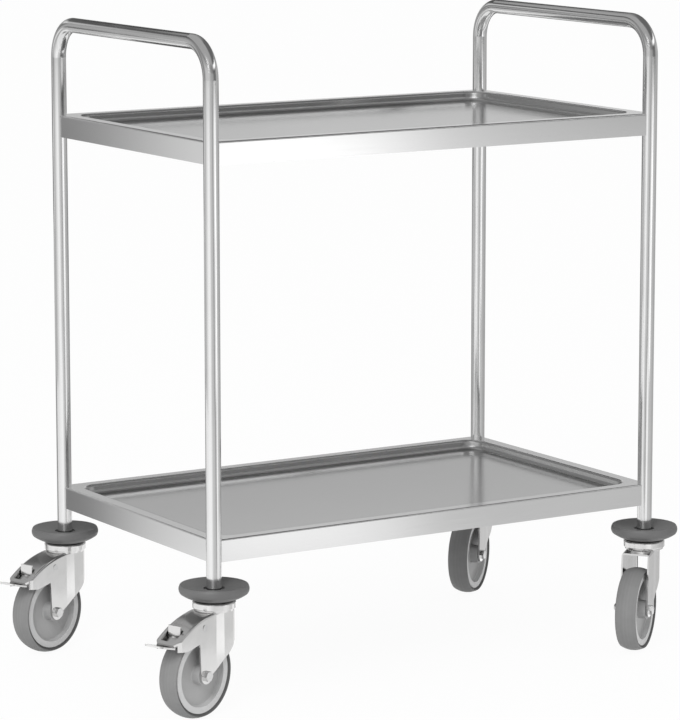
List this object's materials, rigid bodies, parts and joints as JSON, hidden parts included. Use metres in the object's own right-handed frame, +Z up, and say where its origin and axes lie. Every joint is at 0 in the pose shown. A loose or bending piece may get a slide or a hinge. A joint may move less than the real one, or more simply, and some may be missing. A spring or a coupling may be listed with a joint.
{
  "type": "serving trolley",
  "caption": "Tall serving trolley with bent tube end frames that form push handles, pressed trays with sunken wells, rubber bumper discs and swivel casters, part of them with pedal brakes.",
  "frame": {"origin": "floor level, midway between the four legs", "axes": "+Z up, +X along the trays from the braked end to the other, +Y across the trays from the front side to the rear"},
  "size_m": [0.9295, 0.5745, 0.9525],
  "materials": {
    "frame_tube": "polished round stainless tube",
    "tray_steel": "satin stainless sheet with a fine grain along its length",
    "mat_bitumen": "matt sound-deadening mat",
    "caster_zinc": "bright zinc-plated pressed steel",
    "bolt_steel": "zinc-plated steel",
    "bearing_steel": "hardened bright steel",
    "bumper_rubber": "dark grey soft rubber, satin",
    "tyre_rubber": "non-marking grey thermoplastic rubber, matt",
    "hub_plastic": "moulded grey polypropylene",
    "bush_plastic": "natural nylon",
    "brake_rubber": "dark friction rubber"
  },
  "bodies": {
    "frame": {"left_end_frame": "frame_tube", "right_end_frame": "frame_tube", "upper_shelf": "tray_steel", "lower_shelf": "tray_steel", "upper_sound_mat": "mat_bitumen", "lower_sound_mat": "mat_bitumen", "tube_plugs": "bolt_steel", "caster_bolts": "bolt_steel", "king_sleeves": "bolt_steel", "front_left_bumper": "bumper_rubber", "front_left_swivel_head": "caster_zinc", "front_left_ball_ring": "bearing_steel", "rear_left_bumper": "bumper_rubber", "rear_left_swivel_head": "caster_zinc", "rear_left_ball_ring": "bearing_steel", "front_right_bumper": "bumper_rubber", "front_right_swivel_head": "caster_zinc", "front_right_ball_ring": "bearing_steel", "rear_right_bumper": "bumper_rubber", "rear_right_swivel_head": "caster_zinc", "rear_right_ball_ring": "bearing_steel"},
    "front_left_swivel": {"front_left_fork": "caster_zinc", "front_left_axle_bolt": "bolt_steel", "front_left_axle_nut": "bolt_steel", "front_left_axle_sleeve": "bolt_steel", "front_left_brake_pin": "bolt_steel", "front_left_brake_spring": "bearing_steel"},
    "front_left_wheel": {"front_left_wheel_bush": "bush_plastic", "front_left_wheel_hub": "hub_plastic", "front_left_tyre": "tyre_rubber"},
    "front_left_pedal": {"front_left_brake_pedal": "caster_zinc", "front_left_brake_shoe": "brake_rubber"},
    "rear_left_swivel": {"rear_left_fork": "caster_zinc", "rear_left_axle_bolt": "bolt_steel", "rear_left_axle_nut": "bolt_steel", "rear_left_axle_sleeve": "bolt_steel", "rear_left_brake_pin": "bolt_steel", "rear_left_brake_spring": "bearing_steel"},
    "rear_left_wheel": {"rear_left_wheel_bush": "bush_plastic", "rear_left_wheel_hub": "hub_plastic", "rear_left_tyre": "tyre_rubber"},
    "rear_left_pedal": {"rear_left_brake_pedal": "caster_zinc", "rear_left_brake_shoe": "brake_rubber"},
    "front_right_swivel": {"front_right_fork": "caster_zinc", "front_right_axle_bolt": "bolt_steel", "front_right_axle_nut": "bolt_steel", "front_right_axle_sleeve": "bolt_steel"},
    "front_right_wheel": {"front_right_wheel_bush": "bush_plastic", "front_right_wheel_hub": "hub_plastic", "front_right_tyre": "tyre_rubber"},
    "rear_right_swivel": {"rear_right_fork": "caster_zinc", "rear_right_axle_bolt": "bolt_steel", "rear_right_axle_nut": "bolt_steel", "rear_right_axle_sleeve": "bolt_steel"},
    "rear_right_wheel": {"rear_right_wheel_bush": "bush_plastic", "rear_right_wheel_hub": "hub_plastic", "rear_right_tyre": "tyre_rubber"}
  },
  "joints": [
    {"name": "front_left_swivel_turn", "type": "hinge", "parent": "frame", "child": "front_left_swivel", "pos_m": [-0.375, -0.225, 0.1505], "axis": [0, 0, 1], "continuous": true},
    {"name": "front_left_wheel_roll", "type": "hinge", "parent": "front_left_swivel", "child": "front_left_wheel", "pos_m": [-0.41447, -0.23936, 0.0625], "axis": [-0.342, 0.9397, 0], "continuous": true},
    {"name": "front_left_pedal_press", "type": "hinge", "parent": "front_left_swivel", "child": "front_left_pedal", "pos_m": [-0.41729, -0.24039, 0.132], "axis": [0.342, -0.9397, 0], "range_deg": [0, 12]},
    {"name": "rear_left_swivel_turn", "type": "hinge", "parent": "frame", "child": "rear_left_swivel", "pos_m": [-0.375, 0.225, 0.1505], "axis": [0, 0, 1], "continuous": true},
    {"name": "rear_left_wheel_roll", "type": "hinge", "parent": "rear_left_swivel", "child": "rear_left_wheel", "pos_m": [-0.41447, 0.21064, 0.0625], "axis": [-0.342, 0.9397, 0], "continuous": true},
    {"name": "rear_left_pedal_press", "type": "hinge", "parent": "rear_left_swivel", "child": "rear_left_pedal", "pos_m": [-0.41729, 0.20961, 0.132], "axis": [0.342, -0.9397, 0], "range_deg": [0, 12]},
    {"name": "front_right_swivel_turn", "type": "hinge", "parent": "frame", "child": "front_right_swivel", "pos_m": [0.375, -0.225, 0.1505], "axis": [0, 0, 1], "continuous": true},
    {"name": "front_right_wheel_roll", "type": "hinge", "parent": "front_right_swivel", "child": "front_right_wheel", "pos_m": [0.3419, -0.25086, 0.0625], "axis": [-0.6157, 0.788, 0], "continuous": true},
    {"name": "rear_right_swivel_turn", "type": "hinge", "parent": "frame", "child": "rear_right_swivel", "pos_m": [0.375, 0.225, 0.1505], "axis": [0, 0, 1], "continuous": true},
    {"name": "rear_right_wheel_roll", "type": "hinge", "parent": "rear_right_swivel", "child": "rear_right_wheel", "pos_m": [0.3419, 0.19914, 0.0625], "axis": [-0.6157, 0.788, 0], "continuous": true}
  ]
}
